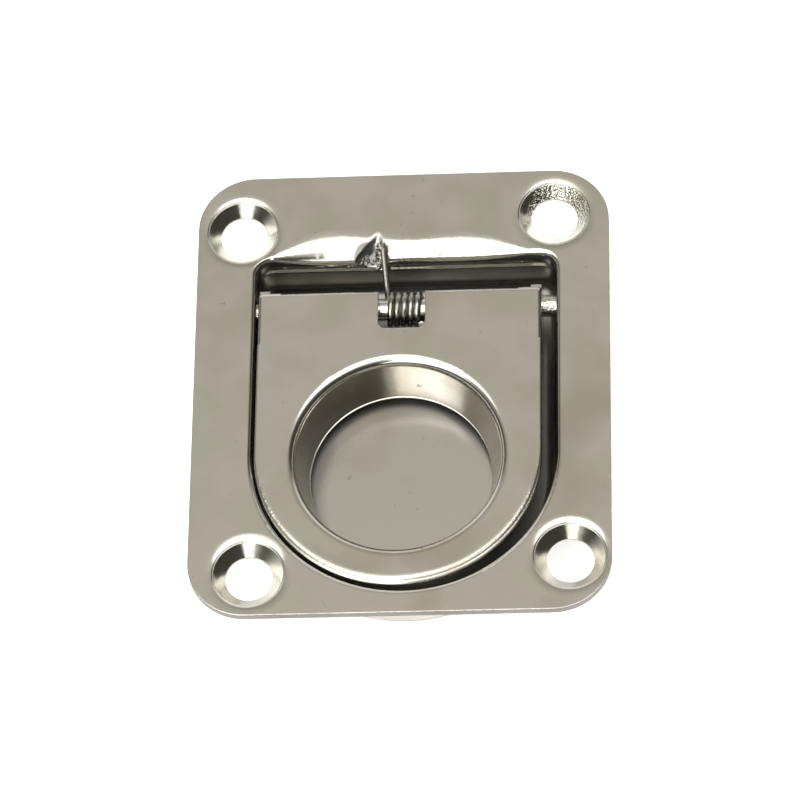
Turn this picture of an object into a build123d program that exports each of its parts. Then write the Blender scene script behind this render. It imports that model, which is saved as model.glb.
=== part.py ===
# Flush pull handle: a stamped plate with a drawn pan, and a sprung flap with a finger hole that closes flush in it.
# Millimetres. The origin is the centre of the four screw holes, on the face that lies against the panel.
# X runs across the plate, Y towards the hinge and Z out of the panel. The flap is closed.
import os
from math import atan, atan2, cos, degrees, pi, radians, sin, sqrt, tan

from build123d import *

# Plate, cut from sheet. The blank sits a little off the centre of its screw holes.
plate_width = 55.0
plate_length = 65.0
plate_corner_radius = 7.6
plate_shift_x = -0.3
plate_shift_y = 0.3
sheet = 1.2

# Dimpled holes for countersunk screws, punched slightly out of square with the plate
hole_pitch_x = 41.7
hole_pitch_y = 50.9
hole_turn = 2.2
screw_hole_diameter = 6.2
countersink_diameter = 9.2
countersink_angle = 90.0
screw_land = 0.3
shoulder_width = 1.3
shoulder_drop = 0.2
dimple_wall = 0.85

# Pan, drawn down from the plate: a straight end at the hinge and a round one at the finger side
pan_width = 40.1
pan_shift_x = 0.1
pan_hinge_end_y = 20.2
pan_arc_y = -8.9
pan_depth = 8.6
pan_draft = 2.0
pan_corner_radius = 2.2
pan_floor_radius = 1.5
mouth_radius = 0.75

# Wide roll of the mouth at the hinge end: where it starts, is full and ends, and its full width and height
wide_roll_left_end_x = -17.9
wide_roll_left_full_x = -13.0
wide_roll_right_full_x = 8.0
wide_roll_right_end_x = 18.5
wide_roll_width = 3.6
wide_roll_height = 2.1

# Flap, flush with the plate and slid to one side on its pin
flap_width = 37.7
flap_shift_x = -0.7
flap_top_edge_y = 15.0
flap_arc_y = -8.85
flap_sheet = 1.5
flap_edge_radius = 0.3

# Finger hole, with its edge drawn down into a collar
finger_hole_y = -9.35
finger_hole_diameter = 26.9
finger_rim_radius = 1.35
collar_depth = 7.2
collar_end_diameter = 24.0
collar_wall = 1.1

# Notch in the flap for the spring
notch_width = 6.25
notch_depth = 5.65
notch_corner_radius = 1.0
notch_shift_x = 0.3

# Ears of the flap, folded down beside the pan's walls to hold the pin
ear_end_y = 7.3
ear_end_radius = 2.9
ear_bend_radius = 0.6
ear_corner_radius = 1.5

# Hinge pin, peened flush with the outside of the pan
pin_diameter = 2.9
pin_y = 13.85
pin_below_top = 3.2
pin_peen_diameter = 3.7
pin_peen_depth = 0.6
pin_fit_in_pan = 0.02
pin_fit_in_ear = 0.08
pin_fit_in_spring = 0.1

# Torsion spring on the pin: one leg in a dent of the mouth, the other leaning on the end of the notch
wire_diameter = 0.87
wire_flats = 10
spring_whole_turns = 5
turn_gap = 0.01
spring_shift_x = 0.61
fixed_leg_end_y = 21.8
fixed_leg_below_top = 0.5
flap_leg_below_top = 0.7
leg_clearance = 0.4

# Dent in the wide roll
dent_clearance = 0.15
dent_half_angle = 22.0
dent_slope = 12.0
dent_turn = 12.0
dent_spread = 1.6
dent_shift = 0.6

# Values that follow from those above
top = sheet
floor_top = top - pan_depth
pan_half = pan_width / 2
flap_half = flap_width / 2
pin_radius = pin_diameter / 2
pin_z = top - pin_below_top
flap_underside = top - flap_sheet
notch_end_y = flap_top_edge_y - notch_depth
coil_radius = pin_radius + pin_fit_in_spring + wire_diameter / 2
coil_pitch = wire_diameter + turn_gap


def pan_body(offset):
    """The pan as a solid with a rounded bottom. Offset is 0 for its inside and the sheet for its outside."""
    half = pan_half + offset
    end_y = pan_hinge_end_y + offset
    with BuildSketch(Plane.XY.offset(top)) as outline:
        with BuildLine():
            Polyline((half, pan_arc_y), (half, end_y), (-half, end_y), (-half, pan_arc_y))
            CenterArc((0, pan_arc_y), half, 180, 180)
        make_face()
        fillet(outline.vertices().sort_by(Axis.Y)[-2:], pan_corner_radius + offset)
    body = extrude(outline.sketch, -pan_depth - offset, taper=pan_draft)
    body = fillet(body.faces().sort_by(Axis.Z)[0].edges(), pan_floor_radius + offset)
    return Pos(pan_shift_x, 0, 0) * body


def wide_roll(offset):
    """The deeper roll of the mouth at the hinge end, lofted along X through quarter ellipses that fade out.

    Offset is 0 for its upper face, and the sheet for its lower one."""
    inner_y = pan_hinge_end_y - pan_corner_radius
    upper = top - offset
    middle_x = (wide_roll_left_full_x + wide_roll_right_full_x) / 2
    left_x = (wide_roll_left_end_x + wide_roll_left_full_x) / 2
    right_x = (wide_roll_right_full_x + wide_roll_right_end_x) / 2
    places = [(left_x, 0.5), (wide_roll_left_full_x, 1), (middle_x, 1), (wide_roll_right_full_x, 1), (right_x, 0.5)]
    if offset == 0:
        places = [(wide_roll_left_end_x, -0.04), *places, (wide_roll_right_end_x, -0.04)]
    sections = []
    for x, fullness in places:
        width = mouth_radius + fullness * (wide_roll_width - mouth_radius)
        height = mouth_radius + fullness * (wide_roll_height - mouth_radius)
        wall_y = pan_hinge_end_y + offset - height * tan(radians(pan_draft))
        width -= offset
        height -= offset
        edge_y = wall_y + width
        with BuildSketch(Plane.YZ.offset(x)) as section:
            with BuildLine():
                EllipticalCenterArc((edge_y, upper - height), width, height, start_angle=90, arc_size=90)
                Polyline((wall_y, upper - height), (inner_y, upper - height), (inner_y, upper + sheet / 2),
                         (edge_y, upper + sheet / 2), (edge_y, upper))
            make_face()
        sections.append(section.sketch.faces()[0])
    return loft(sections)


def screw_places():
    turn = Rotation(0, 0, hole_turn)
    spots = [(sx * hole_pitch_x / 2, sy * hole_pitch_y / 2) for sx in (-1, 1) for sy in (-1, 1)]
    return [turn * Pos(x, y) for x, y in spots]


def countersink_recess():
    """What a screw dimple removes: a soft shoulder, the countersink, its land and the hole."""
    sink_radius = countersink_diameter / 2
    hole_radius = screw_hole_diameter / 2
    roll_angle = 2 * atan(shoulder_drop / shoulder_width)
    roll_radius = shoulder_width / sin(roll_angle)
    rim_z = top - shoulder_drop
    land_z = rim_z - (sink_radius - hole_radius) / tan(radians(countersink_angle / 2))
    with BuildSketch(Plane.XZ) as profile:
        with BuildLine():
            roll = JernArc((sink_radius + shoulder_width, top), (-1, 0), roll_radius, degrees(roll_angle))
            Polyline(roll @ 1, (hole_radius, land_z), (hole_radius, -pan_depth), (0, -pan_depth),
                     (0, top + sheet), (sink_radius + shoulder_width, top + sheet), roll @ 0)
        make_face()
    return revolve(profile.sketch, Axis.Z)


def dimple_bump():
    """What a screw dimple adds under the plate: a blunt cone round the countersink."""
    sink_radius = countersink_diameter / 2
    hole_radius = screw_hole_diameter / 2
    half_angle = radians(countersink_angle / 2)
    rim_z = top - shoulder_drop
    bottom_z = rim_z - (sink_radius - hole_radius) / tan(half_angle) - screw_land
    base_radius = sink_radius - rim_z * tan(half_angle) + dimple_wall / cos(half_angle)
    bottom_radius = base_radius + bottom_z * tan(half_angle)
    bump = Cone(bottom_radius, base_radius, -bottom_z, align=(Align.CENTER, Align.CENTER, Align.MIN))
    return Pos(0, 0, bottom_z) * bump


def pin_cylinder(radius, half_length):
    return Pos(pan_shift_x, pin_y, pin_z) * Rotation(0, 90, 0) * Cylinder(radius, 2 * half_length)


def pin_form(grow):
    """The hinge pin with its peened ends, made thicker by grow."""
    half_length = pan_half + sheet - (top - pin_z) * tan(radians(pan_draft))
    form = pin_cylinder(pin_radius + grow, half_length)
    for side in (-1, 1):
        peen = Cone(pin_radius + grow, pin_peen_diameter / 2 + grow, pin_peen_depth)
        middle_x = half_length - pin_peen_depth / 2
        form += Pos(pan_shift_x + side * middle_x, pin_y, pin_z) * Rotation(0, side * 90, 0) * peen
    return form


def spring_path():
    """The spring's centre line: the end of its fixed leg, the coil, and the end of the leg at the flap.

    Angles run from +Y to +Z round the pin, and the coil is wound against them as it goes to the right."""
    fixed_y = fixed_leg_end_y - pin_y
    fixed_z = top - fixed_leg_below_top - pin_z
    fixed_length = sqrt(fixed_y**2 + fixed_z**2 - coil_radius**2)
    start_angle = degrees(atan2(fixed_z, fixed_y) - atan2(fixed_length, coil_radius))
    flap_y = notch_end_y + wire_diameter / 2 + leg_clearance - pin_y
    flap_z = top - flap_leg_below_top - pin_z
    flap_length = sqrt(flap_y**2 + flap_z**2 - coil_radius**2)
    end_angle = degrees(atan2(flap_z, flap_y) + atan2(flap_length, coil_radius)) - 360
    turns = spring_whole_turns + (start_angle - end_angle) / 360
    left_x = flap_shift_x + spring_shift_x - turns * coil_pitch / 2
    rise = coil_pitch / (2 * pi * coil_radius)
    axis = Plane(origin=(left_x, pin_y, pin_z), x_dir=(0, 1, 0), z_dir=(1, 0, 0))
    coil = Helix(coil_pitch, turns * coil_pitch, coil_radius, lefthand=True)
    coil = axis * (Rotation(0, 0, start_angle) * coil)
    fixed_end = Vector(left_x - rise * fixed_length, fixed_leg_end_y, top - fixed_leg_below_top)
    right_x = left_x + turns * coil_pitch
    flap_end = Vector(right_x, pin_y + flap_y, pin_z + flap_z)
    return fixed_end, coil, flap_end


def torsion_spring():
    """The spring. Its wire is round, and has a few flats here so that the coil stays light."""
    fixed_end, coil, flap_end = spring_path()
    path = Wire([Line(fixed_end, coil @ 0).edge(), coil.edge()])
    radius = wire_diameter / 2
    wire = RegularPolygon(radius, wire_flats)
    wound = sweep(Plane(origin=path @ 0, z_dir=path % 0) * wire, path=path)
    flap_leg = flap_end - coil @ 1
    wound += extrude(Plane(origin=coil @ 1, z_dir=flap_leg) * wire, flap_leg.length)
    return wound + Pos(*(coil @ 1)) * Sphere(radius)


def dent():
    """What the dent in the wide roll removes: a flat cone with its tip away from the pan, and room for the leg."""
    fixed_end, coil, flap_end = spring_path()
    along = (fixed_end - coil @ 0).normalized()
    radius = wire_diameter / 2 + dent_clearance
    groove = extrude(Plane(origin=fixed_end, z_dir=-along) * Circle(radius), wide_roll_width)
    groove += Pos(*fixed_end) * Sphere(radius)
    length = wide_roll_width + mouth_radius
    wedge = Cone(length * tan(radians(dent_half_angle)), 0, length, align=(Align.CENTER, Align.CENTER, Align.MAX))
    wedge = scale(wedge, by=(dent_spread, 1, 1))
    tip = Pos(fixed_end.X - dent_shift, pan_hinge_end_y + wide_roll_width, top)
    return groove + tip * Rotation(0, 0, -dent_turn) * Rotation(-90 + dent_slope, 0, 0) * wedge


def base_plate():
    blank = Pos(plate_shift_x, plate_shift_y) * RectangleRounded(plate_width, plate_length, plate_corner_radius)
    solid = extrude(blank, sheet)
    solid += [place * dimple_bump() for place in screw_places()]
    solid += pan_body(sheet)
    solid += wide_roll(sheet)
    solid -= pan_body(0)
    face = solid.faces().sort_by(Axis.Z)[-1]
    solid = fillet(face.inner_wires()[0].edges(), mouth_radius)
    solid -= wide_roll(0)
    solid -= [place * countersink_recess() for place in screw_places()]
    solid -= pin_form(pin_fit_in_pan)
    return solid - dent()


def flap_blank():
    """The flat part of the flap, cut back along both sides where the ears bend down."""
    with BuildSketch(Plane.XY.offset(flap_underside)) as outline:
        with BuildLine():
            Polyline((flap_half, flap_arc_y), (flap_half, flap_top_edge_y),
                     (-flap_half, flap_top_edge_y), (-flap_half, flap_arc_y))
            CenterArc((0, flap_arc_y), flap_half, 180, 180)
        make_face()
    blank = extrude(outline.sketch, flap_sheet)
    blank = fillet(blank.faces().sort_by(Axis.Z)[-1].edges(), flap_edge_radius)
    length = flap_top_edge_y - ear_end_y
    for side in (-1, 1):
        cut = Box(4 * flap_sheet, 2 * length, 4 * flap_sheet)
        blank -= Pos(side * flap_half, ear_end_y + length, top) * cut
    return blank


def ear():
    """The right-hand ear with its sharp bend, as a folded strip trimmed to its outline from the side."""
    low = pin_z - ear_end_radius
    inner_x = flap_half - flap_sheet
    start_x = inner_x - flap_sheet
    bend_z = top - ear_bend_radius
    step_z = flap_underside
    step_angle = degrees(atan2(step_z - pin_z, sqrt(ear_end_radius**2 - (step_z - pin_z)**2)))
    with BuildSketch(Plane.XZ) as section:
        with BuildLine():
            CenterArc((flap_half - ear_bend_radius, bend_z), ear_bend_radius, 0, 90)
            Polyline((flap_half - ear_bend_radius, top), (start_x, top), (start_x, flap_underside),
                     (inner_x, flap_underside), (inner_x, low), (flap_half, low), (flap_half, bend_z))
        make_face()
    strip = Pos(0, ear_end_y, 0) * extrude(section.sketch, -(pin_y + ear_end_radius - ear_end_y))
    with BuildSketch(Plane.YZ) as side_view:
        with BuildLine():
            edge = CenterArc((pin_y, pin_z), ear_end_radius, -90, 90 + step_angle)
            Polyline(edge @ 1, (flap_top_edge_y, step_z), (flap_top_edge_y, top), (ear_end_y, top),
                     (ear_end_y, low), edge @ 0)
        make_face()
        fillet(side_view.vertices().sort_by(lambda v: v.Y + v.Z)[0], ear_corner_radius)
    return strip & extrude(side_view.sketch, plate_width)


def finger_collar():
    """The drawn collar round the finger hole, with nothing cut from it yet."""
    top_radius = finger_hole_diameter / 2 + collar_wall
    end_radius = collar_end_diameter / 2 + collar_wall
    cone = Cone(end_radius, top_radius, collar_depth - flap_sheet, align=(Align.CENTER, Align.CENTER, Align.MIN))
    return Pos(0, finger_hole_y, top - collar_depth) * cone


def finger_opening():
    """What the finger hole removes: the rolled rim, and the tapering bore of the collar."""
    wall_radius = finger_hole_diameter / 2
    end_radius = collar_end_diameter / 2
    wall_angle = degrees(atan2(wall_radius - end_radius, collar_depth - finger_rim_radius))
    below = -collar_depth - sheet
    start_radius = wall_radius + finger_rim_radius
    with BuildSketch(Plane.XZ) as profile:
        with BuildLine():
            roll = JernArc((start_radius, 0), (-1, 0), finger_rim_radius, 90 - wall_angle)
            Polyline(roll @ 1, (end_radius, -collar_depth), (end_radius, below), (0, below), (0, sheet),
                     (start_radius, sheet), roll @ 0)
        make_face()
    return Pos(0, finger_hole_y, top) * revolve(profile.sketch, Axis.Z)


def spring_notch():
    cut = RectangleRounded(notch_width, 2 * notch_depth, notch_corner_radius)
    return extrude(Pos(notch_shift_x, flap_top_edge_y, flap_underside - flap_sheet) * cut, 3 * flap_sheet)


def flap():
    right_ear = ear()
    solid = flap_blank() + right_ear + mirror(right_ear, Plane.YZ) + finger_collar()
    solid -= finger_opening()
    solid -= spring_notch()
    solid = Pos(flap_shift_x, 0, 0) * solid
    return solid - pin_cylinder(pin_radius + pin_fit_in_ear, plate_width / 2)


def hinge_pin():
    """The pin through the ears and the pan's walls, with its two ends peened flush outside."""
    return pin_form(0)


if __name__ == "__main__":
    os.makedirs("parts", exist_ok=True)
    nodes = {"base_plate": base_plate, "flap": flap, "hinge_pin": hinge_pin, "torsion_spring": torsion_spring}
    for name, make in nodes.items():
        export_step(make(), f"parts/{name}.step")
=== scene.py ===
import bpy
import math
from mathutils import Matrix, Vector


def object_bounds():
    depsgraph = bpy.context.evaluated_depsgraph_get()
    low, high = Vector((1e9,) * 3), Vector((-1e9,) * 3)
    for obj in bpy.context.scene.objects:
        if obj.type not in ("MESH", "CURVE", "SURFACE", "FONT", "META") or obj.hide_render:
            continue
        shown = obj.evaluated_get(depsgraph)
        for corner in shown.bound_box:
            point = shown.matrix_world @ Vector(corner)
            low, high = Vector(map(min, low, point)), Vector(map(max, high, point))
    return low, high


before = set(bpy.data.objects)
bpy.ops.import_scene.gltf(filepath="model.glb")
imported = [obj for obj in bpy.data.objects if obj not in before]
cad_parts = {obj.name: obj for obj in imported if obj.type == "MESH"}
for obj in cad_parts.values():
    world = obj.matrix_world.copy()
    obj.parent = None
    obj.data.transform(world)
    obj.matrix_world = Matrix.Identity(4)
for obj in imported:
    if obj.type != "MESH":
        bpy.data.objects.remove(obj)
cadBounds = [list(corner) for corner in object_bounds()]
bpy.ops.object.select_all(action='DESELECT')


def linearColour(hexText):
    # sRGB hex to the linear values that Blender works in
    channels = [int(hexText[i:i + 2], 16) / 255 for i in (1, 3, 5)]
    return [c / 12.92 if c <= 0.04045 else ((c + 0.055) / 1.055) ** 2.4 for c in channels] + [1.0]


def addNode(tree, kind, settings=None, inputs=None):
    # one node with its settings, and each input as a value or as a link from another node's socket
    node = tree.nodes.new(kind)
    for name, value in (settings or {}).items():
        setattr(node, name, value)
    for name, value in (inputs or {}).items():
        if isinstance(value, bpy.types.NodeSocket):
            tree.links.new(value, node.inputs[name])
        else:
            node.inputs[name].default_value = value
    return node.outputs


def newMaterial(name):
    material = bpy.data.materials.new(name)
    material.use_nodes = True
    material.node_tree.nodes.clear()
    return material, material.node_tree


# camera at the photograph's angle, in metres
cameraValues = {
    "place": (0.04644, -0.30067, 0.56685),
    "turns": (8.902, 28.166, -9.312),    # degrees: round the object, down to it, and level
    "lens": 219.95,
    "sensor": 36.0,
    "nearest": 0.05,
}
view = bpy.data.objects.new("camera", bpy.data.cameras.new("camera"))
bpy.context.scene.collection.objects.link(view)
first, second, third = [math.radians(t) for t in cameraValues["turns"]]
turned = Matrix.Rotation(first, 4, 'Z') @ Matrix.Rotation(second, 4, 'X') @ Matrix.Rotation(third, 4, 'Z')
view.matrix_world = Matrix.Translation(cameraValues["place"]) @ turned
view.data.lens = cameraValues["lens"]
view.data.sensor_width = cameraValues["sensor"]
view.data.clip_start = cameraValues["nearest"]
bpy.context.scene.camera = view
print("camera set")


# what all the steel shares; sizes are in millimetres, here and in the values of each piece
steelValues = {
    "light": "#CFCCC6",           # bright steel, hardly warm
    "cloud": "#C2C0B4",           # where the rolling skin is duller, a little greener
    "stain": "#B3A99A",           # a faint brown bloom
    "cloudRoughness": 0.07,       # how much rougher the cloudy skin is
    "dullRoughness": 0.25,        # torn and marked metal is rougher and darker; the same darkening is painted shade on the pan's floor, the dent's flank and the spring's end
    "dullShade": 0.38,
    "clouds": {"spacing": 7.0, "detail": 2.0, "roughness": 0.45, "shows": (0.34, 0.68), "amount": (0.0, 1.0)},
    "stains": {"spacing": 16.0, "detail": 3.0, "roughness": 0.5, "shows": (0.5, 0.74), "amount": (0.0, 0.6)},
    "marks": {"spacing": 1.3, "detail": 3.0, "roughness": 0.6, "shows": (0.68, 0.72), "amount": (0.0, 0.5)},
    "pits": {"spacing": 0.35, "detail": 2.0, "roughness": 0.55, "shows": (0.62, 0.72), "amount": (1.0, 0.0)},
    "pitDepth": 0.005,
    "pitStrength": 0.4,
    "waves": {"spacing": 11.0, "depth": 0.03, "detail": 1.0, "roughness": 0.4},    # shallow hollows of the sheet
    "scratches": {"spacing": 0.22, "depth": 0.003, "strength": 0.35, "detail": 3.0, "roughness": 0.6},
    "scratchTurn": 0.5,
    "scratchThinness": 0.04,
    "bend": (0.995, 0.9),         # where an edge bends sharply enough to be nicked
    "wear": {"spacing": 2.2, "detail": 2.0, "roughness": 0.55, "shows": (0.4, 0.62), "amount": (0.1, 1.0)},
    "nicks": {"spacing": 0.4, "depth": 0.28},
    "bevelSamples": 8,
}
softStep = {'interpolation_type': 'SMOOTHSTEP'}


def allOf(tree, *limits):
    # 1 where every limit holds: each is a value and the two ends of its soft step, from 0 to 1
    share = 1.0
    for value, none, full in limits:
        step = addNode(tree, 'ShaderNodeMapRange', softStep, {'Value': value, 'From Min': none, 'From Max': full})
        share = addNode(tree, 'ShaderNodeMath', {'operation': 'MULTIPLY'}, {0: share, 1: step['Result']})['Value']
    return share


def spot(tree, place, centre, reach, stretch=(1, 1, 1)):
    # a limit that holds round a point and fades out towards its reach; a larger stretch makes it narrower
    away = addNode(tree, 'ShaderNodeVectorMath', {'operation': 'SUBTRACT'}, {0: place, 1: centre})['Vector']
    away = addNode(tree, 'ShaderNodeVectorMath', {'operation': 'MULTIPLY'}, {0: away, 1: stretch})['Vector']
    length = addNode(tree, 'ShaderNodeVectorMath', {'operation': 'LENGTH'}, {0: away})['Value']
    return length, reach, 0.7 * reach


def patches(tree, vector, spacing, detail, roughness, shows, amount):
    # uneven patches about a spacing apart, cut softly out of a noise
    lumps = addNode(tree, 'ShaderNodeTexNoise', inputs={
        'Vector': vector, 'Scale': 1 / spacing, 'Detail': detail, 'Roughness': roughness})['Fac']
    return addNode(tree, 'ShaderNodeMapRange', softStep, {
        'Value': lumps, 'From Min': shows[0], 'From Max': shows[1], 'To Min': amount[0], 'To Max': amount[1]})['Result']


def roughen(tree, vector, normal, spacing, depth, strength=1.0, detail=1.0, roughness=0.5):
    # uneven metal: lumps of a spacing and a depth on top of the surface so far
    height = addNode(tree, 'ShaderNodeTexNoise', inputs={
        'Vector': vector, 'Scale': 1 / spacing, 'Detail': detail, 'Roughness': roughness})['Fac']
    return addNode(tree, 'ShaderNodeBump', inputs={
        'Strength': strength, 'Distance': depth / 1000, 'Height': height, 'Normal': normal})['Normal']


def stainless(name, values, details):
    # cold-rolled or drawn stainless steel: a mirror gone slightly cloudy, with fine pits, a little waviness, nicked
    # edges, and scratches drawn some ten times as wide as real ones, which would be too fine to show
    v = steelValues
    material, tree = newMaterial(name)
    coords = addNode(tree, 'ShaderNodeTexCoord')
    place = addNode(tree, 'ShaderNodeVectorMath', {'operation': 'SCALE'}, {
        0: coords['Object'], 'Scale': 1000})['Vector']
    parts = addNode(tree, 'ShaderNodeSeparateXYZ', inputs={'Vector': place})
    shape = addNode(tree, 'ShaderNodeNewGeometry')
    facing = addNode(tree, 'ShaderNodeVectorTransform', {
        'vector_type': 'NORMAL', 'convert_from': 'WORLD', 'convert_to': 'OBJECT'}, {'Vector': shape['True Normal']})
    faceUp = addNode(tree, 'ShaderNodeSeparateXYZ', inputs={'Vector': facing['Vector']})['Z']    # 1 on top, 0 on a wall
    told = details(tree, values, place, parts, faceUp)
    grain = addNode(tree, 'ShaderNodeMapping', inputs={'Vector': place, 'Rotation': (0, 0, values["turn"])})['Vector']

    # colour and gloss
    cloudy = addNode(tree, 'ShaderNodeMath', {'operation': 'MULTIPLY'}, {
        0: patches(tree, grain, **v["clouds"]), 1: told.get("cloudShare", 1.0)})['Value']
    dullAndShade = addNode(tree, 'ShaderNodeMath', {'operation': 'MAXIMUM'}, {
        0: patches(tree, grain, **v["marks"]), 1: told.get("dullAndShade", 0.0)})['Value']
    skin = addNode(tree, 'ShaderNodeMix', {'data_type': 'RGBA'}, {
        'Factor': cloudy, 'A': linearColour(v["light"]), 'B': linearColour(v["cloud"])})['Result']
    colour = addNode(tree, 'ShaderNodeMix', {'data_type': 'RGBA'}, {
        'Factor': patches(tree, grain, **v["stains"]), 'A': skin, 'B': linearColour(v["stain"])})['Result']
    # darker where the metal is torn or marked, and painted shade on the pan's floor, the dent's flank and the spring's
    # end
    shade = addNode(tree, 'ShaderNodeMapRange', softStep, {
        'Value': dullAndShade, 'To Min': values["shade"], 'To Max': values["shade"] * v["dullShade"]})['Result']
    colour = addNode(tree, 'ShaderNodeVectorMath', {'operation': 'SCALE'}, {0: colour, 'Scale': shade})['Vector']
    rough = addNode(tree, 'ShaderNodeMath', {'operation': 'MULTIPLY_ADD'}, {
        0: cloudy, 1: v["cloudRoughness"], 2: values["roughness"]})['Value']
    rough = addNode(tree, 'ShaderNodeMath', {'operation': 'MULTIPLY_ADD'}, {
        0: dullAndShade, 1: v["dullRoughness"], 2: rough})['Value']

    # relief, from the rounded edges to the finest pits
    radius = addNode(tree, 'ShaderNodeMath', {'operation': 'DIVIDE'}, {0: told["edge"], 1: 1000})['Value']
    rounded = addNode(tree, 'ShaderNodeBevel', {'samples': v["bevelSamples"]}, {'Radius': radius})['Normal']
    normal = roughen(tree, grain, rounded, **v["waves"])
    along = addNode(tree, 'ShaderNodeMapping', inputs={
        'Vector': grain, 'Rotation': (0, 0, v["scratchTurn"]), 'Scale': (1.0, v["scratchThinness"], 1.0)})['Vector']
    normal = roughen(tree, along, normal, **v["scratches"])
    normal = addNode(tree, 'ShaderNodeBump', inputs={
        'Strength': v["pitStrength"], 'Distance': v["pitDepth"] / 1000,
        'Height': patches(tree, grain, **v["pits"]), 'Normal': normal})['Normal']
    bend = addNode(tree, 'ShaderNodeVectorMath', {'operation': 'DOT_PRODUCT'}, {0: rounded, 1: shape['Normal']})
    worn = addNode(tree, 'ShaderNodeMath', {'operation': 'MULTIPLY'}, {
        0: allOf(tree, (bend['Value'], *v["bend"])), 1: patches(tree, place, **v["wear"])})['Value']
    normal = roughen(tree, place, normal, strength=worn, **v["nicks"])
    for height, depth, where in told.get("lips", ()):
        normal = addNode(tree, 'ShaderNodeBump', inputs={
            'Strength': where, 'Distance': depth / 1000, 'Height': height, 'Normal': normal})['Normal']
    for where, lumps in told.get("torn", ()):
        normal = roughen(tree, place, normal, strength=where, **lumps)

    shader = addNode(tree, 'ShaderNodeBsdfPrincipled', inputs={
        'Base Color': colour, 'Metallic': 1.0, 'Roughness': rough, 'Normal': normal})
    addNode(tree, 'ShaderNodeOutputMaterial', inputs={'Surface': shader['BSDF']})
    return material


# the plate and its pan; a pair of numbers is the two ends of a soft step, from where nothing shows to where all does
plateValues = {
    "turn": 0.0,                          # of the rolling pattern, in radians
    "roughness": 0.13,
    "shade": 1.0,
    "edgeRadius": 0.15,
    "dentRadius": 0.7,                    # added round the spring's dent
    "dent": {"centre": (-3.6, 22.2, 0.4), "reach": 2.6},
    # painted shade: the dent's flank is darkened, and rougher
    "dentFlankShade": {"centre": (-5.3, 21.2, -0.2), "reach": 2.0, "stretch": (1, 0.8, 1)},
    "dentTear": {"centre": (-3.65, 20.9, -0.4), "reach": 2.7, "stretch": (4.5, 1, 1)},
    "dentTearLumps": {"spacing": 0.4, "depth": 0.55},
    "dentSide": {"centre": (-5.6, 21.0, -0.3), "reach": 1.3},
    "dentSideLumps": {"spacing": 0.4, "depth": 0.16},
    "dimple": {"centre": (21.1, 27.9, 0.2), "reach": 5.4},    # the one whose wall chattered in the press
    "dimpleTop": (1.08, 0.95),
    "dimpleLumps": {"spacing": 0.34, "depth": 0.16},
    "outerRim": (-0.2, -0.05),            # the plate itself, above the pan
    "shearedFace": (0.4, 0.2),            # how level a sheared face is at most
    "panFloor": (-6.0, -7.0),
    "floorShadeCentre": (0.5, -11.9, -7.4),      # painted shade: the pan's floor is darkened, and rougher, most of all outside a ring round this point
    "floorShadeRing": (10.7, 13.6),
    "floorShadeDarkness": (0.25, 1.0),
    "hingeWall": (19.2, 19.5),            # the pan's wall on the hinge side
    "ridge": (-1.2, -2.4),                # a light ridge under the mouth
    "ridgeDepth": 0.6,
    "mouthLine": ((-1.3, -1.1), (-0.65, -0.85)),    # a chattered line between these heights
    "mouthEnds": ((-19.5, -16.5), (18.5, 15.5)),
    "mouthLumps": {"spacing": 0.42, "depth": 0.4},
    "holes": (20.85, 25.45, 0.0),         # half the pitch of the screw holes
    "holesTurn": 2.2,                     # degrees
    "groove": ((4.53, 4.79), (4.85, 4.59)),         # a fine groove runs round each countersink
    "grooveDepth": 0.12,
    "grooveTop": (-0.2, 0.2),
}


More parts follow.
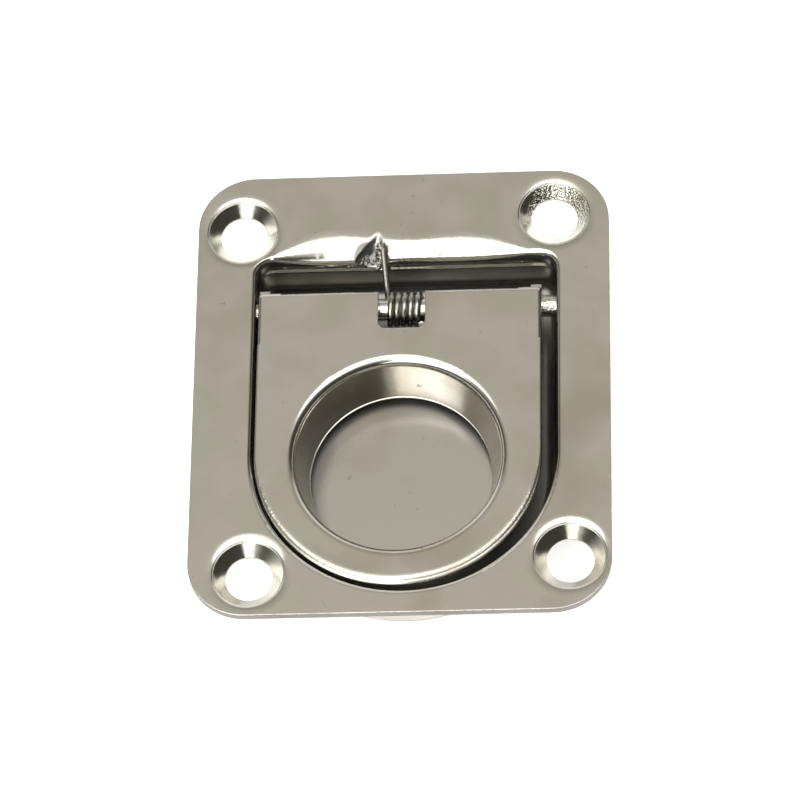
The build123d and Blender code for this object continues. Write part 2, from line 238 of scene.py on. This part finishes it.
def plateDetails(tree, v, place, parts, faceUp):
    # where the press and the spring have torn the skin, the sheared rim, the countersinks, and painted shade on the
    # pan's floor and the dent's flank
    level = addNode(tree, 'ShaderNodeMath', {'operation': 'ABSOLUTE'}, {0: faceUp})['Value']
    inFloor = allOf(tree, (parts['Z'], *v["panFloor"]))
    hingeWall = (parts['Y'], *v["hingeWall"])
    # painted shade on the pan's floor under the collar: some everywhere on the floor, full outside the ring
    fromFloorShade = addNode(tree, 'ShaderNodeVectorMath', {'operation': 'DISTANCE'}, {0: place, 1: v["floorShadeCentre"]})['Value']
    floorShade = addNode(tree, 'ShaderNodeMapRange', softStep, {
        'Value': fromFloorShade, 'From Min': v["floorShadeRing"][0], 'From Max': v["floorShadeRing"][1],
        'To Min': v["floorShadeDarkness"][0], 'To Max': v["floorShadeDarkness"][1]})['Result']
    floorShade = addNode(tree, 'ShaderNodeMath', {'operation': 'MULTIPLY'}, {0: inFloor, 1: floorShade})['Value']
    sheared = allOf(tree, (level, *v["shearedFace"]), (parts['Z'], *v["outerRim"]))
    dullAndShade = 0.0
    # sheared faces are duller; the pan's floor and the dent's flank get painted shade
    for mask in (sheared, floorShade, allOf(tree, spot(tree, place, **v["dentFlankShade"]))):
        dullAndShade = addNode(tree, 'ShaderNodeMath', {'operation': 'MAXIMUM'}, {0: dullAndShade, 1: mask})['Value']

    # all four holes folded on one: turned with their rectangle, then without signs and height
    turned = addNode(tree, 'ShaderNodeMapping', inputs={
        'Vector': place, 'Rotation': (0, 0, math.radians(-v["holesTurn"]))})['Vector']
    folded = addNode(tree, 'ShaderNodeVectorMath', {'operation': 'ABSOLUTE'}, {0: turned})['Vector']
    folded = addNode(tree, 'ShaderNodeVectorMath', {'operation': 'MULTIPLY'}, {0: folded, 1: (1, 1, 0)})['Vector']
    fromHole = addNode(tree, 'ShaderNodeVectorMath', {'operation': 'DISTANCE'}, {0: folded, 1: v["holes"]})['Value']
    groove = allOf(tree, *[(fromHole, *step) for step in v["groove"]])

    mouthLine = [(parts['Z'], *step) for step in v["mouthLine"]] + [(parts['X'], *step) for step in v["mouthEnds"]]
    return {
        "edge": addNode(tree, 'ShaderNodeMath', {'operation': 'MULTIPLY_ADD'}, {
            0: allOf(tree, spot(tree, place, **v["dent"])), 1: v["dentRadius"], 2: v["edgeRadius"]})['Value'],
        "dullAndShade": dullAndShade,
        "cloudShare": addNode(tree, 'ShaderNodeMath', {'operation': 'SUBTRACT'}, {0: 1.0, 1: inFloor})['Value'],
        "lips": [
            (allOf(tree, (parts['Z'], *v["ridge"])), v["ridgeDepth"], allOf(tree, hingeWall)),
            (addNode(tree, 'ShaderNodeMath', {'operation': 'SUBTRACT'}, {0: 1.0, 1: groove})['Value'],
             v["grooveDepth"], allOf(tree, (parts['Z'], *v["grooveTop"])))],
        "torn": [
            (allOf(tree, spot(tree, place, **v["dentTear"])), v["dentTearLumps"]),
            (allOf(tree, spot(tree, place, **v["dentSide"])), v["dentSideLumps"]),
            (allOf(tree, spot(tree, place, **v["dimple"]), (parts['Z'], *v["dimpleTop"])), v["dimpleLumps"]),
            (allOf(tree, hingeWall, *mouthLine), v["mouthLumps"])],
    }


flapValues = {
    "turn": 1.2,
    "roughness": 0.13,
    "shade": 1.0,
    "edgeRadius": 0.3,
    "endRadius": 0.8,                     # added on the round end, whose sheared edge rolled over most
    "fingerHole": (-0.7, -9.35, -2.0),
    "roundEnd": (-8.0, -14.0),
    "roundEndRing": (15.6, 16.4),
    "roundEndSide": ((0.6, 0.3), (-0.5, -0.3)),
    "roundEndSlope": (1.3, -0.6),
    "roundEndDepth": 2.3,
    "collar": (13.2, 12.9),
    "burr": (-5.6, -5.98),                # at the collar's end
    "burrDepth": 0.45,
    "backEdge": (13.8, 14.3),
    "backTop": (0.7, 0.9),
    "backSlope": (15.1, 14.5),
    "backDepth": 0.15,
}


def flapDetails(tree, v, place, parts, faceUp):
    # the rolled-over round end and back edge, and the burr at the collar's end
    fromHole = addNode(tree, 'ShaderNodeVectorMath', {'operation': 'DISTANCE'}, {0: place, 1: v["fingerHole"]})['Value']
    roundEnd = [(parts['Y'], *v["roundEnd"]), (fromHole, *v["roundEndRing"])]
    side = allOf(tree, *roundEnd, *[(faceUp, *step) for step in v["roundEndSide"]])
    back = allOf(tree, (parts['Y'], *v["backEdge"]), (faceUp, *v["backTop"]))
    return {
        "edge": addNode(tree, 'ShaderNodeMath', {'operation': 'MULTIPLY_ADD'}, {
            0: allOf(tree, *roundEnd), 1: v["endRadius"], 2: v["edgeRadius"]})['Value'],
        "lips": [
            (allOf(tree, (parts['Z'], *v["burr"])), v["burrDepth"], allOf(tree, (fromHole, *v["collar"]))),
            (allOf(tree, (parts['Z'], *v["roundEndSlope"])), v["roundEndDepth"], side),
            (allOf(tree, (parts['Y'], *v["backSlope"])), v["backDepth"], back)],
    }


pinValues = {
    "turn": 0.4,
    "roughness": 0.2,
    "shade": 1.0,
    "edgeRadius": 0.1,
    "peenedEnd": {"centre": (19.2, 13.85, -2.0), "reach": 2.2},    # the hammer's marks reach in from the end
    "peenedLumps": {"spacing": 0.3, "depth": 0.12},
}


def pinDetails(tree, v, place, parts, faceUp):
    return {"edge": v["edgeRadius"], "torn": [(allOf(tree, spot(tree, place, **v["peenedEnd"])), v["peenedLumps"])]}


springValues = {
    "turn": 0.8,
    "roughness": 0.22,
    "shade": 0.62,                        # the spring is coloured darker than the sheet
    "edgeRadius": 0.14,
    # painted shade on the wire's end below this Y, where the notch's corner is shaded
    "shadedCutEnd": (10.5, 10.2),
}


def springDetails(tree, v, place, parts, faceUp):
    # the wire's end under the flap is rougher, and darkened as painted shade
    return {"edge": v["edgeRadius"], "dullAndShade": allOf(tree, (parts['Y'], *v["shadedCutEnd"]))}


metals = (
    ("base_plate", "rolledStainlessPlate", plateValues, plateDetails),
    ("flap", "rolledStainlessFlap", flapValues, flapDetails),
    ("hinge_pin", "drawnStainlessPin", pinValues, pinDetails),
    ("torsion_spring", "drawnSpringWire", springValues, springDetails),
)
for node, name, values, details in metals:
    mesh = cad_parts[node].data
    mesh.materials.clear()
    mesh.materials.append(stainless(name, values, details))
print("metals set")


# a pale floor, three white soft boxes, and a sky that the metal mirrors
studio = {
    "floorSize": 8.0,
    "floorColour": "#F4F3F0",
    "floorGlow": 0.6,             # seen by the camera and in the metal, and lights nothing
    "softBoxes": {
        "overheadSoftBox": {"level": 2.2, "place": (-0.05, -0.06, 0.72), "size": (0.9, 0.5), "aimed": False},
        "southSoftBox": {"level": 3.3, "place": (-0.41, -0.77, 0.72), "size": (0.78, 0.92), "aimed": False},
        "frontSoftBox": {"level": 2.6, "place": (-0.12, -0.88, 0.47), "size": (0.5, 0.16), "aimed": True},
    },
    # tones from the horizon, 0, to straight up, 1: round the sky, and on its shaded side
    "skyTones": ((0.0, "#EDEDEA"), (0.085, "#EDEDEA"), (0.11, "#3A3833"), (0.36, "#3A3833"), (0.7, "#BBB7AC"),
                 (0.85, "#D0CCC2"), (1.0, "#D6D2C9")),
    "shadeTones": ((0.0, "#EDEDEA"), (0.06, "#EDEDEA"), (0.1, "#45423C"), (0.45, "#4A4741"), (0.7, "#5E5B53"),
                   (0.83, "#E0DDD6"), (0.94, "#F2F0EC"), (1.0, "#E6E3DC")),
    "shadeSide": (-0.05, 0.35),
    "westColour": "#F2F1EE",      # a pale screen low in the west
    "westSide": (-0.35, -0.85),
    "westHeight": (0.3, 0.1),
    "westShare": 0.85,
    "northColour": "#FFFFFF",     # and a white one in the north
    "northSide": (0.55, 0.75),
    "northHeight": (0.62, 0.45),
}
bpy.ops.mesh.primitive_plane_add(size=studio["floorSize"], location=(0, 0, cadBounds[0][2]))
floor = bpy.context.object
floor.name = "floor"
floorPaper, tree = newMaterial("matPaperFloor")
ray = addNode(tree, 'ShaderNodeLightPath')
seen = ray['Is Camera Ray']
for kind in ('Is Glossy Ray', 'Is Transmission Ray'):
    seen = addNode(tree, 'ShaderNodeMath', {'operation': 'MAXIMUM'}, {0: seen, 1: ray[kind]})['Value']
glow = addNode(tree, 'ShaderNodeMath', {'operation': 'MULTIPLY'}, {0: seen, 1: studio["floorGlow"]})['Value']
glow = addNode(tree, 'ShaderNodeEmission', inputs={'Color': (1, 1, 1, 1), 'Strength': glow})['Emission']
paper = addNode(tree, 'ShaderNodeBsdfDiffuse', inputs={'Color': linearColour(studio["floorColour"])})['BSDF']
paper = addNode(tree, 'ShaderNodeAddShader', inputs={0: glow, 1: paper})['Shader']
addNode(tree, 'ShaderNodeOutputMaterial', inputs={'Surface': paper})
floor.data.materials.append(floorPaper)

for name, box in studio["softBoxes"].items():
    light = bpy.data.lights.new(name, 'AREA')
    light.shape = 'RECTANGLE'
    width, height = box["size"]
    light.size, light.size_y = width, height
    light.energy = box["level"] * math.pi * width * height
    lamp = bpy.data.objects.new(name, light)
    bpy.context.scene.collection.objects.link(lamp)
    lamp.location = box["place"]
    if box["aimed"]:
        lamp.rotation_euler = (-Vector(box["place"])).to_track_quat('-Z', 'Y').to_euler()

world = bpy.data.worlds.new("studioSky")
bpy.context.scene.world = world
world.use_nodes = True
tree = world.node_tree
tree.nodes.clear()
toward = addNode(tree, 'ShaderNodeTexCoord')['Generated']
parts = addNode(tree, 'ShaderNodeSeparateXYZ', inputs={'Vector': toward})
skies = []
for tones in (studio["skyTones"], studio["shadeTones"]):
    sky = addNode(tree, 'ShaderNodeValToRGB', inputs={'Fac': parts['Z']})['Color']
    stops = sky.node.color_ramp.elements
    while len(stops) < len(tones):
        stops.new(0.5)
    for stop, (height, tone) in zip(stops, tones):
        stop.position = height
        stop.color = linearColour(tone)
    skies.append(sky)
across = addNode(tree, 'ShaderNodeMath', {'operation': 'SUBTRACT'}, {0: parts['X'], 1: parts['Y']})['Value']
shaded = allOf(tree, (across, *studio["shadeSide"]))
west = allOf(tree, (parts['X'], *studio["westSide"]), (parts['Z'], *studio["westHeight"]))
west = addNode(tree, 'ShaderNodeMath', {'operation': 'MULTIPLY'}, {0: west, 1: studio["westShare"]})['Value']
north = allOf(tree, (parts['Y'], *studio["northSide"]), (parts['Z'], *studio["northHeight"]))
sky = skies[0]
for share, other in ((shaded, skies[1]), (west, linearColour(studio["westColour"])),
                     (north, linearColour(studio["northColour"]))):
    sky = addNode(tree, 'ShaderNodeMix', {'data_type': 'RGBA'}, {'Factor': share, 'A': sky, 'B': other})['Result']
backdrop = addNode(tree, 'ShaderNodeBackground', inputs={'Color': sky, 'Strength': 1.0})['Background']
addNode(tree, 'ShaderNodeOutputWorld', inputs={'Surface': backdrop})
print("studio set")

bpy.context.scene.view_settings.view_transform = 'Standard'
bpy.context.view_layer.update()
